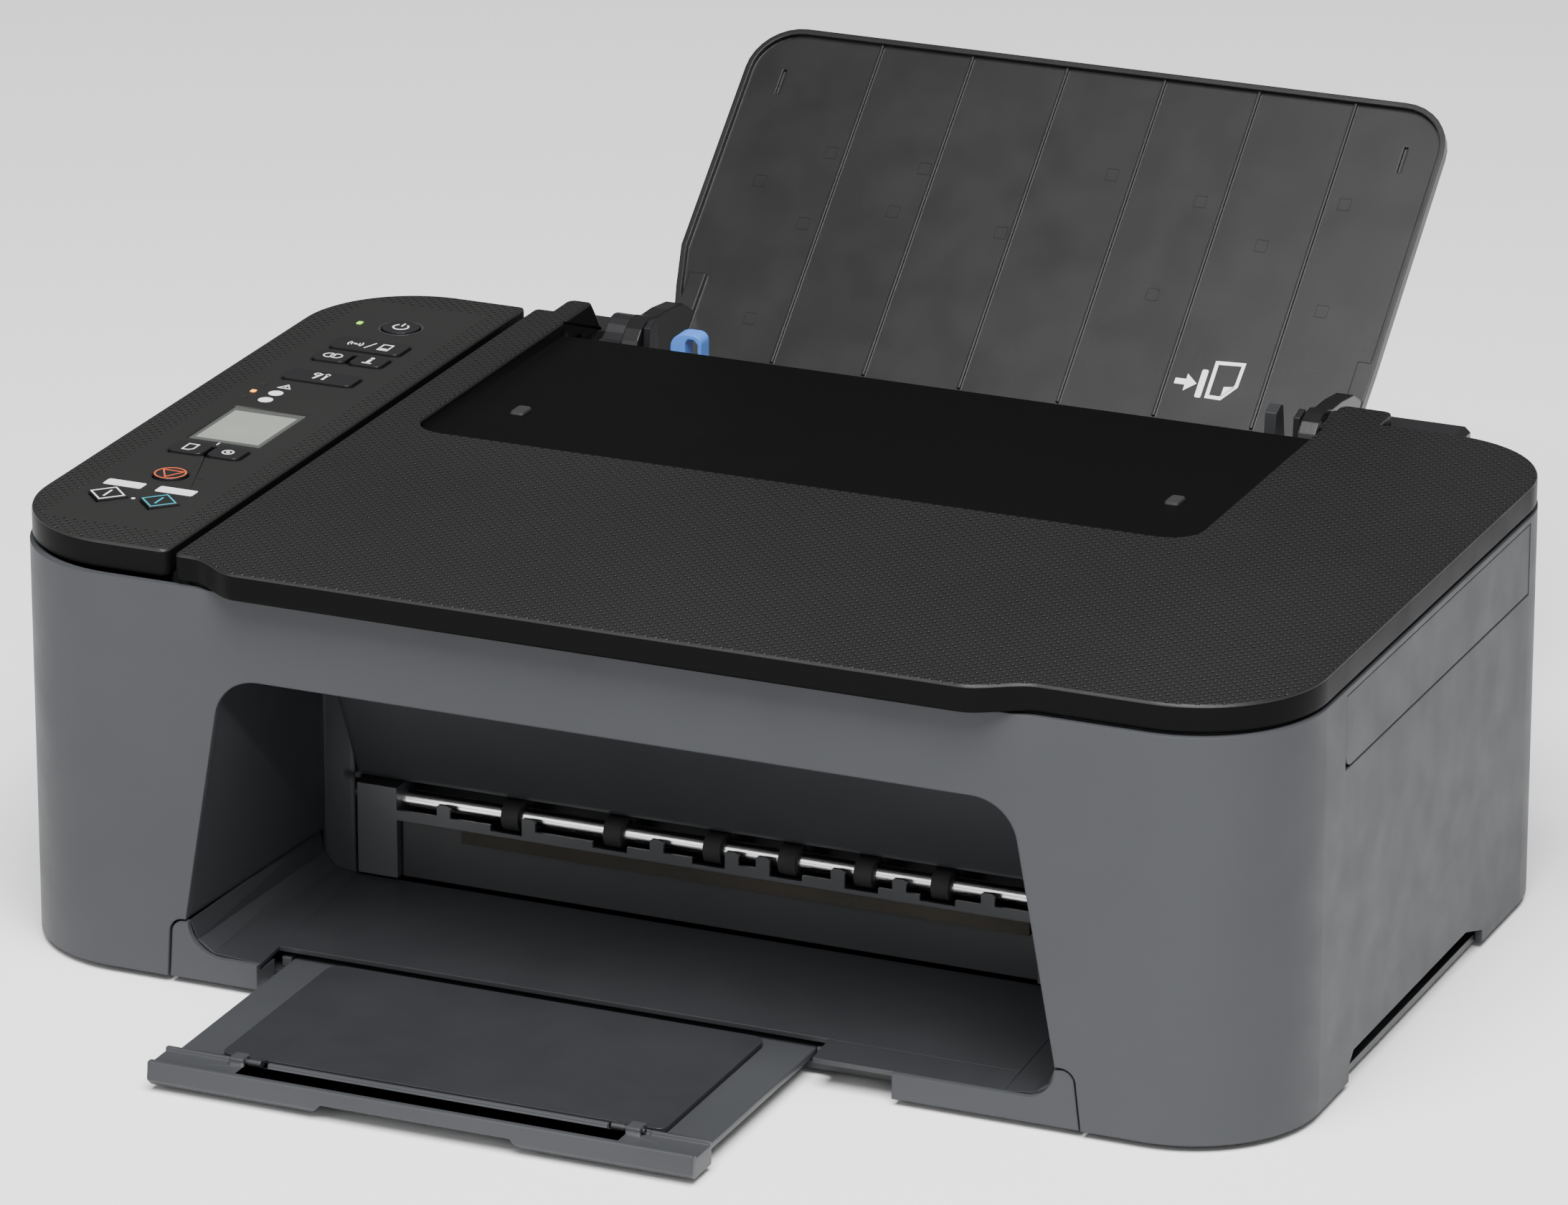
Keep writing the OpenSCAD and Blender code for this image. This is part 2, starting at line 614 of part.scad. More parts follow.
// Side view of a pivot arm
function arm_outline() = concat([[-6, -9], [10, -15.2], [14, -support_off - support_t], [44,
    -support_off - support_t],
  [44, -support_off + 0.8], [29, -support_off + 0.8], [26, -6], [18, 3]], arc_points(0, 5, 12, 12, 20,
      190, 8));
module paper_support() {
  place(black) translate([paper_x, pivot[0], pivot[1]]) rotate([support_tilt, 0, 0]) {
    // Plate with a raised rim
    difference() {
      translate([0, 0, -support_off - support_t]) linear_extrude(support_t + 0.8)
          polygon(support_outline(0));
      difference() {
        translate([0, 0, -support_off - 1.1]) linear_extrude(4) polygon(support_outline(2));
        translate([-130, 0, -20]) cube([260, 13, 10]);
      }
      translate([-118.3, 0, -support_off - 1.1]) cube([236.6, 30, 4]);
      // Narrow pockets near the top corners
      for (x = [-117, 111]) translate([x - 0.7, 119, -support_off - 2]) cube([1.4, 10, 4]);
    }
    // Lower edge between the arms
    translate([-118.4, 10, -support_off - support_t]) cube([236.8, 6, support_t - 1.1]);
    // Ribs that lift the sheets
    for (x = [-84.7, -51, -16, 19.8, 54.2, 89]) {
      translate([x - 0.5, 14, -support_off - 1.2]) cube([1, support_len - 15, 0.9]);
    }
    // Pivot arms
    for (x = [-124.5, 118.5]) difference() {
      translate([x, 0, 0]) rotate([90, 0, 90]) linear_extrude(6) polygon(arm_outline());
      translate([x - 1, 0, 0]) rotate([0, 90, 0]) cylinder(h = 8, r = 2.5 + shaft_gap);
    }
  }
}

// ---------------------------------------------------------------- output tray
module output_tray() {
  place(casing_grey) {
    yf = tray_front;
    difference() {
      union() {
        prism_x(bar_x0, bar_x1, [[yf + 2.4, 2], [yf + 15, 2], [yf + 15, 10.2], [yf + 13, 10.2],
            [yf + 13, 9],
          [yf + 4, 9], [yf + 3, 10.2], [yf + 0.8, 10.2], [yf, 4.2]]);
        box(-119.2, 61.2, yf + 14.9, yf + 122, 5.2, 7.8);
        // Bearings of the flip-out extension
        for (x = [-98, 36]) box(x, x + 5, yf + 10.2, yf + 16, 7, 11.6);
      }
      // Thumb cut-out in the lower edge
      prism_y(yf - 1, yf + 11, [[-66, 1], [6, 1], [2, 5.4], [-62, 5.4]]);
      // Room for the lugs of the extension
      for (x = [-92.6, 29]) box(x, x + 6.4, yf + 6, yf + 18, 8.2, 12);
      rod_x(-99, -92.4, yf + 13, 9.9, 1 + shaft_gap);
      rod_x(35.2, 43, yf + 13, 9.9, 1 + shaft_gap);
    }
  }
}

module tray_extension() {
  place("#34363a") {
    yf = tray_front;
    slab(-104, 46, yf + 17.2, yf + 95, 8.2, 9.6, [3, 3, 5, 5]);
    // Lugs to the hinge line
    for (x = [-92.2, 30.6]) {
      rod_x(x, x + 4.4, yf + 13, 9.9, 1.2);
      prism_x(x, x + 4.4, [[yf + 13, 8.9], [yf + 18, 8.5], [yf + 18, 9.6], [yf + 13, 10.9]]);
    }
    rod_x(-98.6, -92.2, yf + 13, 9.9, 1);
    rod_x(35, 41.6, yf + 13, 9.9, 1);
  }
}

module inner_cover() {
  place("#2a2c30") translate([0, cover_y, cover_z]) rotate([cover_lean, 0, 0]) {
    difference() {
      translate([-123.6, 0, 0.4]) cube([253.2, 2, 59.6]);
      // Row of pull ridges near the top
      for (x = [-30 : 6 : 30]) translate([x, -0.1, 50]) cube([2.4, 0.7, 6]);
    }
    translate([-126.6, 0, 0]) rotate([0, 90, 0]) cylinder(h = 4, r = 1.2);
    translate([128.6, 0, 0]) rotate([0, 90, 0]) cylinder(h = 4, r = 1.2);
  }
}

// ---------------------------------------------------------------- print mechanism
car_x0 = 111;
car_x1 = 189;
module carriage() {
  place("#1e1f22") {
    difference() {
      box(car_x0, car_x1, -45, 27, 49.2, 84);
      box(car_x0 + 2.5, 148.9, -46, 24.5, 52, 86);
      box(151.1, car_x1 - 2.5, -46, 24.5, 52, 86);
      // Windows for the print heads
      box(120, 142, -36, -16, 49, 53);
      box(158, 180, -36, -16, 49, 53);
    }
    // Back plate with the lever hinges and the hook over the rail
    box(car_x0, car_x1, 24.5, 27, 84, 99);
    box(car_x0 + 14, car_x1 - 14, 27, 42, 95.6, 99);
    for (x = [car_x0, 148.9, car_x1 - 2.2]) difference() {
      prism_x(x, x + 2.2, [[8, 84], [24.5, 84], [24.5, 94], [16, 94]]);
      rod_x(x - 1, x + 3.2, 18, 89, 1.5 + shaft_gap);
    }
  }
}
module ink_cartridge(x0, c) {
  place(c) {
    box(x0, x0 + 32, -41, 22, 56, 80);
    box(x0 + 6, x0 + 26, -35, -17, 50.4, 56);
  }
}
module black_cartridge() { ink_cartridge(115.4, "#3c3e42"); }
module color_cartridge() { ink_cartridge(153.2, "#4c4e52"); }
module lever(x0, x1, c) {
  place(c) {
    box(x0 + 0.6, x1 - 0.6, -26, 18, 87.6, 89.6);
    rod_x(x0 + 0.6, x1 - 0.6, 18, 89, 2.4);
    rod_x(x0 - 1.1, x1 + 1, 18, 89, 1.5);
    box((x0 + x1) / 2 - 8, (x0 + x1) / 2 + 8, -34, -26, 87.6, 89.6);
  }
}
module black_lever() { lever(113.2, 148.9, "#6c6f74"); }
module color_lever() { lever(151.1, 186.8, "#6c6f74"); }

module timing_belt() {
  place("#18181a") difference() {
    union() {
      box(-186, 184, 35.5, 40.5, 78.8, 93.2);
      rod_y(-186, 35.5, 40.5, 86, 7.2);
      rod_y(184, 35.5, 40.5, 86, 7.2);
    }
    box(-186, 184, 35, 41, 79.6, 92.4);
    rod_y(-186, 35, 41, 86, 6.4);
    rod_y(184, 35, 41, 86, 6.4);
  }
}
module drive_pulley() {
  place("#d8d4c4") difference() {
    rod_y(184, 35.6, 40.4, 86, 6);
    rod_y(184, 35, 41, 86, 1.5 + shaft_gap);
    for (a = [0 : 60 : 300]) rod_y(184 + 3.8 * cos(a), 35, 41, 86 + 3.8 * sin(a), 0.9);
  }
}
module idler_pulley() {
  place("#d8d4c4") difference() {
    rod_y(-186, 35.6, 40.4, 86, 6);
    rod_y(-186, 35, 41, 86, 1.5 + shaft_gap);
    for (a = [0 : 60 : 300]) rod_y(-186 + 3.8 * cos(a), 35, 41, 86 + 3.8 * sin(a), 0.9);
  }
}
module carriage_motor() {
  place(steel) {
    rod_y(184, 44, 80, 86, 13.6);
    rod_y(184, 32.5, 44, 86, 1.5);
    box(168, 199.6, 42.6, 44, 72, 100);
  }
}
module feed_motor() {
  place(steel) {
    rod_x(-197.9, -172, motor_y, motor_z, 13);
    rod_x(-206, -197.9, motor_y, motor_z, 1.2);
  }
}
module motor_pinion() {
  place("#e6e2d2") gear_x(-205.8, -201.2, motor_y, motor_z, 5, 12, 1.2 + shaft_gap);
}
module idler_gear() {
  place("#e6e2d2") gear_x(-205.8, -201.2, (feed_y + exit_y) / 2, (feed_z + exit_z) / 2, 15.1, 30,
      2 + shaft_gap);
}
module feed_roller() {
  place("#9da1a6") {
    rod_x(-197, 199, feed_y, feed_z, feed_r);
    rod_x(-206, -197, feed_y, feed_z, 4);
    rod_x(199, 204, feed_y, feed_z, 4);
  }
}
module feed_gear() {
  place("#e6e2d2") gear_x(-205.8, -201.2, feed_y, feed_z, 15.8, 32, 4);
}
module exit_shaft() {
  place("#c7cacd") rod_x(-206, 126, exit_y, exit_z, exit_r);
}
module exit_tyres() {
  place("#2e2f31") for (x = tyre_x) difference() {
    rod_x(x - 3, x + 3, exit_y, exit_z, tyre_r);
    rod_x(x - 4, x + 4, exit_y, exit_z, exit_r);
  }
}
module exit_gear() {
  place("#e6e2d2") gear_x(-205.8, -201.2, exit_y, exit_z, 15.8, 32, exit_r);
}
module pickup_roller() {
  place("#55585c") {
    difference() {
      rod_x(35, 75, pickup_y, pickup_z, pickup_r);
      // Flat of the D-shaped roller
      box(34, 76, pickup_y + 10, pickup_y + 20, pickup_z - 20, pickup_z + 20);
    }
    rod_x(paper_x - 127, 35, pickup_y, pickup_z, 3);
    rod_x(75, paper_x + 127, pickup_y, pickup_z, 3);
  }
}
module cap_sled() {
  place("#3a3c40") {
    difference() {
      box(115, 186, -42, -10, 38.4, 46);
      box(122, 178, -38, -14, 40.6, 47);
    }
    for (x = [120, 158]) difference() {
      box(x, x + 22, -36, -16, 46, 48.7);
      box(x + 2, x + 20, -34, -18, 47, 49);
    }
    box(119, 182, -30, -22, 40, 46);
  }
}

base_chassis();
rubber_feet();
outer_casing();
side_panel();
front_sill();
output_floor();
opening_liner();
exit_comb();
exit_foam();
platen();
guide_rail();
side_frames();
rear_feeder();
main_board();
power_supply();
power_inlet();
scanner_bed();
scan_glass();
panel_housing();
lcd_display();
carriage_motor();
feed_motor();
timing_belt();
right_guide();
casing_screws();
document_cover();
lid_pad();
lid_hinges();
paper_support();
left_guide();
output_tray();
tray_extension();
inner_cover();
power_button();
wireless_button();
direct_button();
info_button();
tools_button();
paper_button();
ok_button();
stop_button();
black_start_button();
color_start_button();
carriage();
black_cartridge();
color_cartridge();
black_lever();
color_lever();
drive_pulley();
idler_pulley();
feed_roller();
feed_gear();
exit_shaft();
exit_tyres();
exit_gear();
motor_pinion();
idler_gear();
pickup_roller();
scanner_carriage();
cap_sled();
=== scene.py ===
import bpy
import bmesh
import math
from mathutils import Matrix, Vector


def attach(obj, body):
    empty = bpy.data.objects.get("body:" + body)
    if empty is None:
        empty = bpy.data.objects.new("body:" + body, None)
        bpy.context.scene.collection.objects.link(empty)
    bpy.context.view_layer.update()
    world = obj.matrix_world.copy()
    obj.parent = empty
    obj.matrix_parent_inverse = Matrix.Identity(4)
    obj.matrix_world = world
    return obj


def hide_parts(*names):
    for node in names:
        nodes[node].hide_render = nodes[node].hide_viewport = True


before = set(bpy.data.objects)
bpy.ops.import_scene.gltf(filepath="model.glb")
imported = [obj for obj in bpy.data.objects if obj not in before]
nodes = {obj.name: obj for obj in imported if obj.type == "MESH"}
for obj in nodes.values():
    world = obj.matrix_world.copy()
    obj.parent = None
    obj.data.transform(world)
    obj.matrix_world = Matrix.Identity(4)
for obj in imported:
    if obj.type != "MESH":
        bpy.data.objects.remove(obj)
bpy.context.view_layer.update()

MM = 0.001             # metres in a millimetre
MID_Y = 29.368         # casing y of the frame's origin, mm
LATTICE_Z = 0.14485    # the dimples are only above this height, m
SKIRT_Z = 0.1441       # the edge bands of the lid and the panel, painted darker as shade, are below this height, m
ROOT = "printer_body"


def P(x, y, z):
    """Casing millimetres to scene metres."""
    return Vector((x * MM, (y - MID_Y) * MM, z * MM))


# ------------------------------------------------------------------ shader helpers
def scaled(color, k):
    """RGBA of a colour times k."""
    return tuple(c * k for c in color[:3]) + (1,)


class Tree:
    """Small wrapper that makes node maths readable."""

    def __init__(self, name):
        self.mat = bpy.data.materials.new(name)
        self.mat.use_nodes = True
        self.nt = self.mat.node_tree
        self.bsdf = self.nt.nodes["Principled BSDF"]
        self.coord = self.nt.nodes.new("ShaderNodeTexCoord").outputs["Object"]

    def new(self, kind, **props):
        n = self.nt.nodes.new(kind)
        for k, v in props.items():
            setattr(n, k, v)
        return n

    def put(self, socket, value):
        if isinstance(value, (int, float, tuple)):
            socket.default_value = value
        else:
            self.nt.links.new(value, socket)

    def set(self, name, value):
        self.put(self.bsdf.inputs[name], value)

    def m(self, op, a, b=0.0, clamp=False):
        n = self.new("ShaderNodeMath", operation=op, use_clamp=clamp)
        self.put(n.inputs[0], a)
        self.put(n.inputs[1], b)
        return n.outputs[0]

    def xyz(self):
        n = self.new("ShaderNodeSeparateXYZ")
        self.put(n.inputs[0], self.coord)
        return n.outputs[0], n.outputs[1], n.outputs[2]

    def noise(self, scale, detail=2.0, rough=0.5, stretch=None):
        n = self.new("ShaderNodeTexNoise")
        v = self.coord
        if stretch:
            mp = self.new("ShaderNodeMapping")
            mp.inputs["Scale"].default_value = stretch
            self.put(mp.inputs["Vector"], v)
            v = mp.outputs[0]
        self.put(n.inputs["Vector"], v)
        n.inputs["Scale"].default_value = scale
        n.inputs["Detail"].default_value = detail
        n.inputs["Roughness"].default_value = rough
        return n.outputs["Fac"]

    def remap(self, v, a, b, lo, hi):
        n = self.new("ShaderNodeMapRange")
        self.put(n.inputs["Value"], v)
        for k, x in (("From Min", a), ("From Max", b), ("To Min", lo), ("To Max", hi)):
            n.inputs[k].default_value = x
        return n.outputs[0]

    def mix(self, f, a, b):
        n = self.new("ShaderNodeMix", data_type="RGBA")
        self.put(n.inputs["Factor"], f)
        self.put(n.inputs["A"], a)
        self.put(n.inputs["B"], b)
        return n.outputs["Result"]

    def blotches(self, scale, a, b):
        """Slow variation between two colours."""
        return self.mix(self.remap(self.noise(scale, 3), 0.3, 0.7, 0, 1), a, b)

    def uneven(self, rough):
        """Roughness that varies by 8 per cent."""
        return self.remap(self.noise(60, 2), 0.3, 0.7, rough * 0.92, rough * 1.08)

    def bump(self, height, strength, distance, normal):
        n = self.new("ShaderNodeBump")
        self.put(n.inputs["Height"], height)
        n.inputs["Strength"].default_value = strength
        n.inputs["Distance"].default_value = distance
        self.put(n.inputs["Normal"], normal)
        return n.outputs["Normal"]

    def soft_edge(self, radius):
        """Normal that rounds the edges; the radius is in millimetres."""
        n = self.new("ShaderNodeBevel", samples=4)
        n.inputs["Radius"].default_value = radius * MM
        return n.outputs["Normal"]


def plastic(name, color, rough, edge=0.5, grain=900.0, grain_h=0.25, mottle=0.08, coat=0.0, spec=0.5):
    """Moulded plastic: fine spark-eroded grain, slight tone variation and softened edges."""
    t = Tree(name)
    t.set("Base Color", t.blotches(14, scaled(color, 1 - mottle), scaled(color, 1 + mottle)))
    t.set("Roughness", t.uneven(rough))
    normal = t.soft_edge(edge)
    if grain_h:
        normal = t.bump(t.noise(grain, 2, 0.6), 0.5, grain_h * 1e-4, normal)
    t.set("Normal", normal)
    t.set("Coat Weight", coat)
    t.set("Coat Roughness", 0.08)
    t.set("Specular IOR Level", spec)
    return t.mat


def print_ink(name, color, rough):
    """Printed mark or lens: as plastic, without grain."""
    return plastic(name, color, rough, edge=0.05, grain_h=0.0)


def metal(name, color, rough, stretch=(1, 40, 40), edge=0.2):
    """Metal, brushed along its long direction by the stretch."""
    t = Tree(name)
    n = t.noise(30, 3, 0.6, stretch)
    t.set("Base Color", t.mix(n, scaled(color, 0.85), scaled(color, 1)))
    t.set("Roughness", t.remap(n, 0.2, 0.8, rough * 0.8, rough * 1.2))
    t.set("Metallic", 1.0)
    t.set("Normal", t.bump(n, 0.3, 2e-5, t.soft_edge(edge)))
    return t.mat


def dimpled(name, color, region, rough=0.36, pitch=3.6, radius=0.72, edge=1.5, spec=0.3):
    """Black satin plastic with a staggered lattice of small dimples inside a region; the dimples and the
    edge bands get painted shade, a darker base colour.
    """
    t = Tree(name)
    x, y, z = t.xyz()
    half = pitch * MM / 2

    def lattice(offset):
        """Distance from the nearest point of a square lattice; 1.0 m keeps the input positive."""
        u = t.m("PINGPONG", t.m("ADD", x, 1.0 + offset), half)
        v = t.m("PINGPONG", t.m("ADD", y, 1.0 + offset), half)
        return t.m("SQRT", t.m("ADD", t.m("MULTIPLY", u, u), t.m("MULTIPLY", v, v)))

    near = t.m("MINIMUM", lattice(0), lattice(half))
    dot = t.remap(near, radius * MM, radius * MM * 0.55, 0, 1)
    dot = t.m("MULTIPLY", dot, region(t, x, y, z), clamp=True)
    skirt_shade = t.m("LESS_THAN", z, SKIRT_Z)
    tone = t.blotches(10, scaled(color, 0.92), scaled(color, 1.08))
    # painted shade: the edge bands of the lid and the panel get a base colour darkened to 0.3, and less
    # specular
    tone = t.mix(skirt_shade, tone, scaled(color, 0.3))
    # the dimples are real hollows through the bump below; their darker base colour, 0.25 of the plastic's,
    # is painted shade
    t.set("Base Color", t.mix(dot, tone, scaled(color, 0.25)))
    t.set("Roughness", t.uneven(rough))
    normal = t.bump(t.m("SUBTRACT", 1.0, dot), 0.8, 0.35 * MM, t.soft_edge(edge))
    t.set("Normal", t.bump(t.noise(1100, 2, 0.6), 0.5, 2.2e-5, normal))
    t.set("Specular IOR Level", t.remap(skirt_shade, 0, 1, spec, spec * 0.1))
    return t.mat


def inside(t, x, y, x0, x1, y0, y1):
    """1 inside a rectangle given in casing millimetres."""
    a = t.m("MULTIPLY", t.m("GREATER_THAN", x, x0 * MM), t.m("LESS_THAN", x, x1 * MM))
    b = t.m("MULTIPLY", t.m("GREATER_THAN", y, (y0 - MID_Y) * MM), t.m("LESS_THAN", y, (y1 - MID_Y) * MM))
    return t.m("MULTIPLY", a, b)


def lid_region(t, x, y, z):
    """The lid's top, without its recess and its sides."""
    return t.m("GREATER_THAN", z, LATTICE_Z)


def panel_region(t, x, y, z):
    """The panel's top around the plain field with the keys."""
    field = inside(t, x, y, -206, -161.5, -117, 119)
    return t.m("MULTIPLY", lid_region(t, x, y, z), t.m("SUBTRACT", 1.0, field))


def glass_mat(name, color, rough, alpha):
    t = Tree(name)
    t.set("Base Color", t.mix(t.noise(5), scaled(color, 0.97), scaled(color, 1)))
    t.set("Roughness", rough)
    t.set("IOR", 1.5)
    t.set("Alpha", alpha)
    return t.mat


def lcd_mat(name):
    """Display window: pale grey-green glass in a darker frame."""
    t = Tree(name)
    x, y, _ = t.xyz()
    core = inside(t, x, y, -195.5, -173, -30, -1.5)
    tone = t.mix(t.remap(t.noise(25, 2), 0.3, 0.7, 0, 1), (0.19, 0.205, 0.185, 1), (0.25, 0.265, 0.24, 1))
    t.set("Base Color", t.mix(core, (0.07, 0.075, 0.07, 1), tone))
    t.set("Roughness", 0.18)
    t.set("Normal", t.soft_edge(0.5))
    return t.mat


# ------------------------------------------------------------------ materials
CASING = plastic("casing_grey", (0.0425, 0.0443, 0.0483), 0.5, edge=0.8, grain=700, grain_h=0.5, mottle=0.03,
                 spec=0.18)
BAR = plastic("tray_grey", (0.036, 0.0375, 0.041), 0.45, edge=0.6, grain=700, grain_h=0.4, spec=0.25)
LID = dimpled("lid_black", (0.012, 0.012, 0.0125), lid_region)
PANEL = dimpled("panel_black", (0.0155, 0.0155, 0.0152), panel_region)
KEY = plastic("key_black", (0.012, 0.012, 0.013), 0.3, edge=0.35, grain_h=0.1)
COMB = plastic("comb_plastic", (0.045, 0.047, 0.052), 0.35, edge=0.3, grain_h=0.2)
DARK = plastic("dark_plastic", (0.017, 0.018, 0.02), 0.45, edge=0.4, grain_h=0.4)
LINER = plastic("liner_plastic", (0.026, 0.027, 0.03), 0.42, edge=2.5, grain_h=0.5)
GLOSS = plastic("support_black", (0.0085, 0.0085, 0.009), 0.3, edge=0.7, grain_h=0.3, spec=0.35)
BRACKET = plastic("bracket_black", (0.012, 0.012, 0.013), 0.3, edge=0.6, grain_h=0.1)
GREY = plastic("grey_plastic", (0.06, 0.062, 0.067), 0.4, edge=0.5)
BLUE = plastic("guide_blue", (0.07, 0.2, 0.62), 0.35, edge=0.8)
WHITE = print_ink("white_print", (0.75, 0.75, 0.75), 0.5)
TEAL = print_ink("teal_print", (0.02, 0.32, 0.36), 0.4)
ORANGE = print_ink("orange_print", (0.62, 0.1, 0.03), 0.4)
CREAM = plastic("gear_cream", (0.6, 0.56, 0.45), 0.4, edge=0.2)
RUBBER = plastic("rubber", (0.012, 0.012, 0.012), 0.75, edge=0.4, grain=1500, grain_h=0.8)
FOAM = plastic("foam", (0.024, 0.021, 0.016), 0.95, edge=0.2, grain=1200, grain_h=8.0, mottle=0.6)
BOARD = plastic("board_green", (0.02, 0.12, 0.05), 0.35, edge=0.2)
STEEL = metal("sheet_steel", (0.6, 0.61, 0.62), 0.32)
CHROME = metal("shaft_steel", (0.95, 0.95, 0.95), 0.24, stretch=(1, 1, 1))
GLASS = glass_mat("bed_glass", (0.6, 0.72, 0.74), 0.03, 0.4)
LCD = lcd_mat("lcd_glass")

LOOK = {
    CASING: "outer_casing side_panel front_sill",
    BAR: "output_tray",
    LID: "document_cover",
    PANEL: "panel_housing",
    KEY: "power_button wireless_button direct_button info_button tools_button paper_button ok_button "
         "stop_button black_start_button color_start_button",
    BRACKET: "rear_feeder",
    DARK: "base_chassis right_guide platen power_supply power_inlet scanner_bed lid_hinges tray_extension "
          "carriage scanner_carriage cap_sled output_floor",
    LINER: "opening_liner inner_cover",
    COMB: "exit_comb",
    GLOSS: "paper_support",
    GREY: "black_cartridge color_cartridge black_lever color_lever",
    BLUE: "left_guide",
    WHITE: "lid_pad",
    CREAM: "feed_gear exit_gear motor_pinion idler_gear drive_pulley idler_pulley",
    RUBBER: "rubber_feet exit_tyres timing_belt pickup_roller",
    FOAM: "exit_foam",
    BOARD: "main_board",
    STEEL: "guide_rail side_frames carriage_motor feed_motor casing_screws",
    CHROME: "feed_roller exit_shaft",
    GLASS: "scan_glass",
    LCD: "lcd_display",
}
for material, names in LOOK.items():
    for n in names.split():
        slots = nodes[n].data.materials
        slots.clear()
        slots.append(material)


# ------------------------------------------------------------------ mesh helpers
def place_in_scene(name, mesh, body, slot, matrix=None):
    """A new object that moves with a body; the slot argument is not used."""
    o = bpy.data.objects.new(name, mesh)
    bpy.context.scene.collection.objects.link(o)
    if matrix is not None:
        o.matrix_world = matrix
    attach(o, body)
    return o


def make(name, verts, faces, material, body, slot):
    me = bpy.data.meshes.new(name)
    me.from_pydata([tuple(v) for v in verts], [], faces)
    me.update()
    bm = bmesh.new()
    bm.from_mesh(me)
    bmesh.ops.remove_doubles(bm, verts=bm.verts, dist=1e-6)
    bmesh.ops.recalc_face_normals(bm, faces=bm.faces)
    bm.to_mesh(me)
    bm.free()
    me.materials.append(material)
    return place_in_scene(name, me, body, slot)


def slab(start, n):
    """Faces between a lower ring of n points that starts at an index and the upper ring after it."""
    sides = [(start + i, start + (i + 1) % n, start + n + (i + 1) % n, start + n + i) for i in range(n)]
    return [tuple(range(start + n, start + 2 * n)), tuple(reversed(range(start, start + n)))] + sides


def tube(s, n):
    """Faces of a flat ring: n outer and n inner points from index s, below, and the same again above."""
    t = s + 2 * n
    faces = []
    for i in range(n):
        j = (i + 1) % n
        faces += [(t + i, t + j, t + n + j, t + n + i), (s + i, s + n + i, s + n + j, s + j),
                  (s + i, s + j, t + j, t + i), (s + n + i, t + n + i, t + n + j, s + n + j)]
    return faces


def marks(name, loops, place, material, body, slot):
    """Flat marks. A loop is a list of points, or a pair (outer, inner) for a ring; place(x, y, level) puts a
    point on the lower (0) or upper (1) face."""
    verts, faces = [], []
    for loop in loops:
        s = len(verts)
        is_ring = isinstance(loop, tuple)
        points = loop[0] + loop[1] if is_ring else loop
        faces += tube(s, len(loop[0])) if is_ring else slab(s, len(loop))
        for level in (0, 1):
            verts += [place(x, y, level) for x, y in points]
    return make(name, verts, faces, material, body, slot)


def rounded(node, radius, body, slot):
    """A copy of a CAD node's mesh with its outer edges rounded; it stands for that node."""
    corner = math.radians(50)      # sharper edges are rounded, and sharper turns stay sharp in the shading
    flat = math.radians(0.6)       # smaller turns are joined into one face
    src = nodes[node]
    me = src.data.copy()
    bm = bmesh.new()
    bm.from_mesh(me)
    bmesh.ops.remove_doubles(bm, verts=bm.verts, dist=2e-6)
    bmesh.ops.dissolve_limit(bm, angle_limit=flat, verts=bm.verts, edges=bm.edges)
    edges = [e for e in bm.edges if len(e.link_faces) == 2 and e.is_convex and e.calc_face_angle() > corner]
    bmesh.ops.bevel(bm, geom=edges, offset=radius * MM, offset_type="OFFSET", segments=2, profile=0.5,
                    affect="EDGES", clamp_overlap=False, miter_outer="SHARP")
    bmesh.ops.remove_doubles(bm, verts=bm.verts, dist=1e-6)
    bmesh.ops.triangulate(bm, faces=[f for f in bm.faces if len(f.verts) > 4])
    bm.to_mesh(me)
    bm.free()
    for p in me.polygons:
        p.use_smooth = True
    me.set_sharp_from_angle(angle=corner)
    o = place_in_scene("shell_" + node, me, body, slot, src.matrix_world.copy())
    weigh = o.modifiers.new("flat_faces", "WEIGHTED_NORMAL")
    weigh.keep_sharp = True
    weigh.weight = 100
    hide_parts(node)


# ------------------------------------------------------------------ outlines
def circ(cx, cy, r, n=32, a0=0.0, a1=360.0):
    """Points of a circle, or of an arc from a0 to a1 degrees."""
    count = n if abs(a1 - a0) >= 360 else n + 1
    turns = [math.radians(a0 + (a1 - a0) * i / n) for i in range(count)]
    return [(cx + r * math.cos(a), cy + r * math.sin(a)) for a in turns]


def ring(cx, cy, r, w, n=40):
    return (circ(cx, cy, r, n), circ(cx, cy, r - w, n))


def arc(cx, cy, r, w, a0, a1, n=16):
    return circ(cx, cy, r, n, a0, a1) + list(reversed(circ(cx, cy, r - w, n, a0, a1)))


def rect(x0, x1, y0, y1):
    return [(x0, y0), (x1, y0), (x1, y1), (x0, y1)]


def rrect(x0, x1, y0, y1, r, n=6):
    corners = ((x1 - r, y1 - r, 0), (x0 + r, y1 - r, 90), (x0 + r, y0 + r, 180), (x1 - r, y0 + r, 270))
    return [p for cx, cy, a in corners for p in circ(cx, cy, r, n, a, a + 90)]


def diamond(cx, cy, h):
    return [(cx - h, cy), (cx, cy - h), (cx + h, cy), (cx, cy + h)]


def line(x0, y0, x1, y1, w):
    d = Vector((x1 - x0, y1 - y0)).normalized()
    nx, ny = -d.y * w / 2, d.x * w / 2
    return [(x0 + nx, y0 + ny), (x0 - nx, y0 - ny), (x1 - nx, y1 - ny), (x1 + nx, y1 + ny)]


